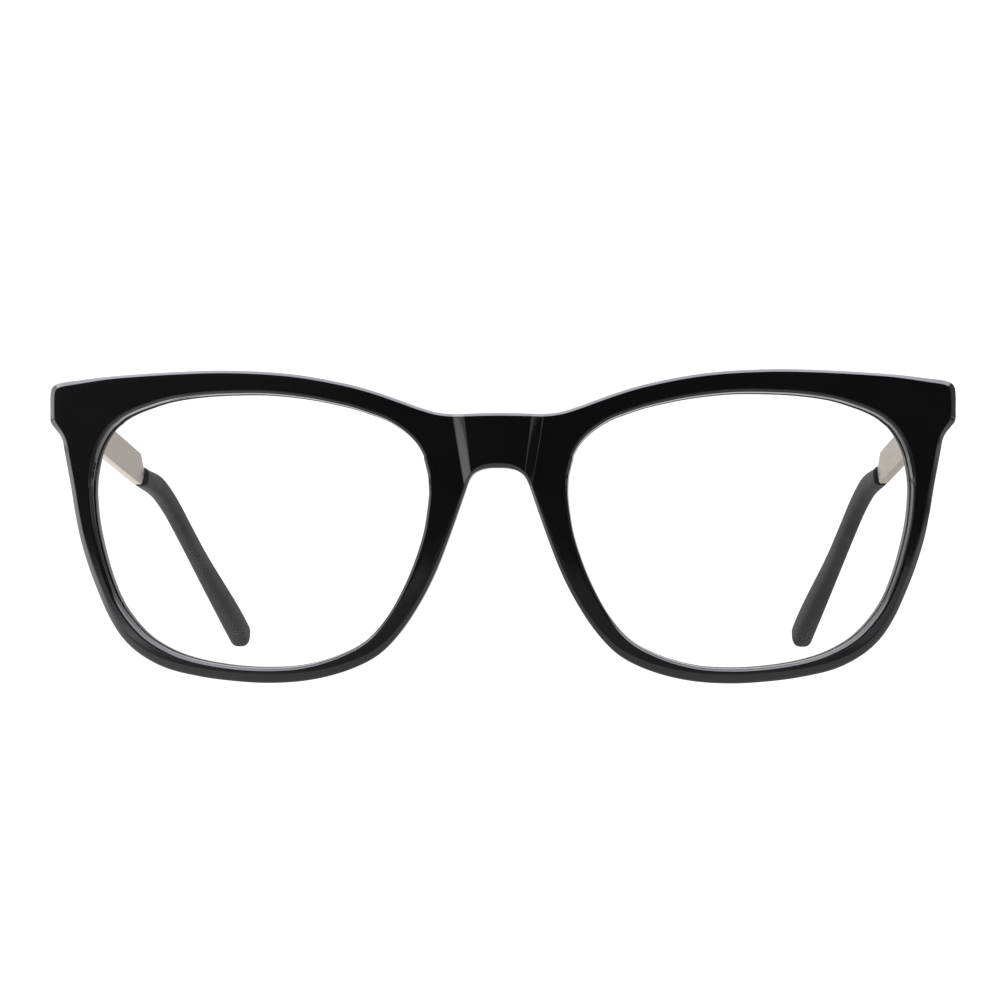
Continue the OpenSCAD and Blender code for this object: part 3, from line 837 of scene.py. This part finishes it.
me = bpy.data.meshes.new("floor")
me.from_pydata([(-3, -3, 0), (3, -3, 0), (3, 3, 0), (-3, 3, 0)], [], [(0, 1, 2, 3)])
floor = bpy.data.objects.new("floor", me)
floor.location = (0, 0, cad_lo.z - 0.0002)
scene.collection.objects.link(floor)
fm, nt = new_mat("floor_pale")
out = nt.nodes.new("ShaderNodeOutputMaterial")
add = nt.nodes.new("ShaderNodeAddShader")
dif = nt.nodes.new("ShaderNodeEmission")
dif.inputs["Strength"].default_value = 1.2
emi = nt.nodes.new("ShaderNodeEmission")
emi.inputs["Color"].default_value = (1, 1, 1, 1)
ray = nt.nodes.new("ShaderNodeLightPath")
gtc = nt.nodes.new("ShaderNodeTexCoord")


def pool(cx, cy, near, far, v0, v1):
    """Brightness that falls from v0 to v1 with the distance from a point of the floor."""
    away = nt.nodes.new("ShaderNodeVectorMath")
    away.operation = "DISTANCE"
    away.inputs[1].default_value = (cx, cy, 0)
    nt.links.new(gtc.outputs["Object"], away.inputs[0])
    m = nt.nodes.new("ShaderNodeMapRange")
    m.interpolation_type = "SMOOTHSTEP"
    for k, v in (("From Min", near), ("From Max", far), ("To Min", v0), ("To Max", v1)):
        m.inputs[k].default_value = v
    nt.links.new(away.outputs["Value"], m.inputs["Value"])
    return m.outputs["Result"]


# painted light on the floor's glow, seen only by reflection and lighting rays: a painted pool of light at the left and
# painted shade at the right front
dim = nt.nodes.new("ShaderNodeMath")
dim.operation = "MULTIPLY"
nt.links.new(pool(-0.38, 0.0, 0.26, 0.36, 2.4, 0.95), dim.inputs[0])
nt.links.new(pool(0.42, -0.16, 0.16, 0.26, 0.06, 1.0), dim.inputs[1])
# shaded patch of floor in front, between the two sides
fsep = nt.nodes.new("ShaderNodeSeparateXYZ")
nt.links.new(gtc.outputs["Object"], fsep.inputs["Vector"])


def ease(v, lo, hi, v0, v1):
    m = nt.nodes.new("ShaderNodeMapRange")
    m.interpolation_type = "SMOOTHSTEP"
    for k, x in (("From Min", lo), ("From Max", hi), ("To Min", v0), ("To Max", v1)):
        m.inputs[k].default_value = x
    nt.links.new(v, m.inputs["Value"])
    return m.outputs["Result"]


def combine(op, a, b=None):
    m = nt.nodes.new("ShaderNodeMath")
    m.operation = op
    nt.links.new(a, m.inputs[0])
    if b is not None:
        nt.links.new(b, m.inputs[1])
    return m.outputs["Value"]


ahead = ease(fsep.outputs["Y"], -0.112, -0.09, 0.3, 1.0)
beside = ease(combine("ABSOLUTE", fsep.outputs["X"]), 0.12, 0.17, 0.0, 1.0)
nt.links.new(combine("MULTIPLY", dim.outputs["Value"], combine("MAXIMUM", ahead, beside)), emi.inputs["Strength"])
add = nt.nodes.new("ShaderNodeMixShader")
nt.links.new(ray.outputs["Is Camera Ray"], add.inputs["Fac"])
nt.links.new(emi.outputs["Emission"], add.inputs[1])
nt.links.new(dif.outputs["Emission"], add.inputs[2])
nt.links.new(add.outputs["Shader"], out.inputs["Surface"])
floor.data.materials.append(fm)
fm.cycles.emission_sampling = "NONE"

world = bpy.data.worlds.new("studio")
scene.world = world
world.use_nodes = True
nt = world.node_tree
nt.nodes.clear()
out = nt.nodes.new("ShaderNodeOutputWorld")
mix = nt.nodes.new("ShaderNodeMixShader")
lp = nt.nodes.new("ShaderNodeLightPath")
seen = nt.nodes.new("ShaderNodeBackground")
seen.inputs["Color"].default_value = (1, 1, 1, 1)
seen.inputs["Strength"].default_value = 1.2
room = nt.nodes.new("ShaderNodeBackground")
room.inputs["Strength"].default_value = 1.0
tc = nt.nodes.new("ShaderNodeTexCoord")
sep = nt.nodes.new("ShaderNodeSeparateXYZ")
nt.links.new(tc.outputs["Generated"], sep.inputs["Vector"])


def math_node(op, a, b=None, clamp=False):
    n = nt.nodes.new("ShaderNodeMath")
    n.operation = op
    n.use_clamp = clamp
    for k, v in enumerate((a, b)):
        if v is None:
            continue
        if isinstance(v, (int, float)):
            n.inputs[k].default_value = v
        else:
            nt.links.new(v, n.inputs[k])
    return n.outputs["Value"]


def between(v, lo, hi):
    n = nt.nodes.new("ShaderNodeMapRange")
    n.interpolation_type = "SMOOTHSTEP"
    n.inputs["From Min"].default_value = lo
    n.inputs["From Max"].default_value = hi
    nt.links.new(v, n.inputs["Value"])
    return n.outputs["Result"]


X, Y, Z = sep.outputs["X"], sep.outputs["Y"], sep.outputs["Z"]
# white behind and beside the object, dark in front of it
back = between(Y, -0.55, 0.1)
level = math_node("ADD", math_node("MULTIPLY", back, 0.95), 0.05)
# left wall brighter, right wall dimmer
left = math_node("MULTIPLY", between(math_node("MULTIPLY", X, -1.0), 0.55, 0.85), 1.5)
right = math_node("MULTIPLY", between(X, 0.5, 0.9), -0.6)
level = math_node("ADD", level, math_node("MULTIPLY", left, between(Y, -0.65, -0.3)))
level = math_node("MAXIMUM", math_node("ADD", level, right), 0.04)
# long soft light overhead
reach = math_node("ADD", Z, math_node("MULTIPLY", math_node("ABSOLUTE", X), 0.45))
top = math_node("MULTIPLY", between(reach, 0.9, 0.99), 6.0)
# thin upright light at the right in front
strip_x = math_node("MULTIPLY", between(X, 0.79, 0.82), math_node("SUBTRACT", 1.0, between(X, 0.86, 0.9)))
strip = math_node("MULTIPLY", math_node("MULTIPLY", strip_x, math_node("SUBTRACT", 1.0, between(Y, -0.45, -0.35))), 1.0)
level = math_node("ADD", level, strip)
# weak fill from the upper left in front
fill = math_node("MULTIPLY", between(math_node("MULTIPLY", X, -1.0), 0.05, 0.4), 0.12)
level = math_node("ADD", level, math_node("MULTIPLY", fill, between(Z, -0.1, 0.3)))
comb = nt.nodes.new("ShaderNodeCombineXYZ")
for k, tint in (("X", 0.93), ("Y", 0.9), ("Z", 1.02)):
    nt.links.new(math_node("ADD", level, math_node("MULTIPLY", top, tint)), comb.inputs[k])
nt.links.new(comb.outputs["Vector"], room.inputs["Color"])
nt.links.new(lp.outputs["Is Camera Ray"], mix.inputs["Fac"])
nt.links.new(room.outputs["Background"], mix.inputs[1])
nt.links.new(seen.outputs["Background"], mix.inputs[2])
nt.links.new(mix.outputs["Shader"], out.inputs["Surface"])

cam_data = bpy.data.cameras.new("camera")
cam = bpy.data.objects.new("camera", cam_data)
scene.collection.objects.link(cam)
scene.camera = cam
PSI, TH, RHO = 0.0306942, -0.02348235, -0.00041726
TX, DIST, TZ, FOCAL = -0.28182854, 349.80275, -27.325031, 2361.56
A = np.array([[math.cos(PSI), math.sin(PSI), 0], [-math.sin(PSI), math.cos(PSI), 0], [0, 0, 1]])
B = np.array([[1, 0, 0], [0, math.cos(TH), -math.sin(TH)], [0, math.sin(TH), math.cos(TH)]])
C = np.array([[math.cos(RHO), 0, math.sin(RHO)], [0, 1, 0], [-math.sin(RHO), 0, math.cos(RHO)]])
R = C @ B @ A
pos = -R.T @ np.array([TX, DIST, TZ])
m4 = Matrix.Identity(4)
for i in range(3):
    m4[i][0], m4[i][1], m4[i][2] = R[0][i], R[2][i], -R[1][i]
m4[0][3], m4[1][3], m4[2][3] = pos[0] / 1000, (pos[1] - DEPTH_MID) / 1000, pos[2] / 1000
cam.matrix_world = m4
cam_data.sensor_width = 36
cam_data.lens = FOCAL / 1000 * 36
cam_data.clip_start = 0.01
cam_data.clip_end = 50
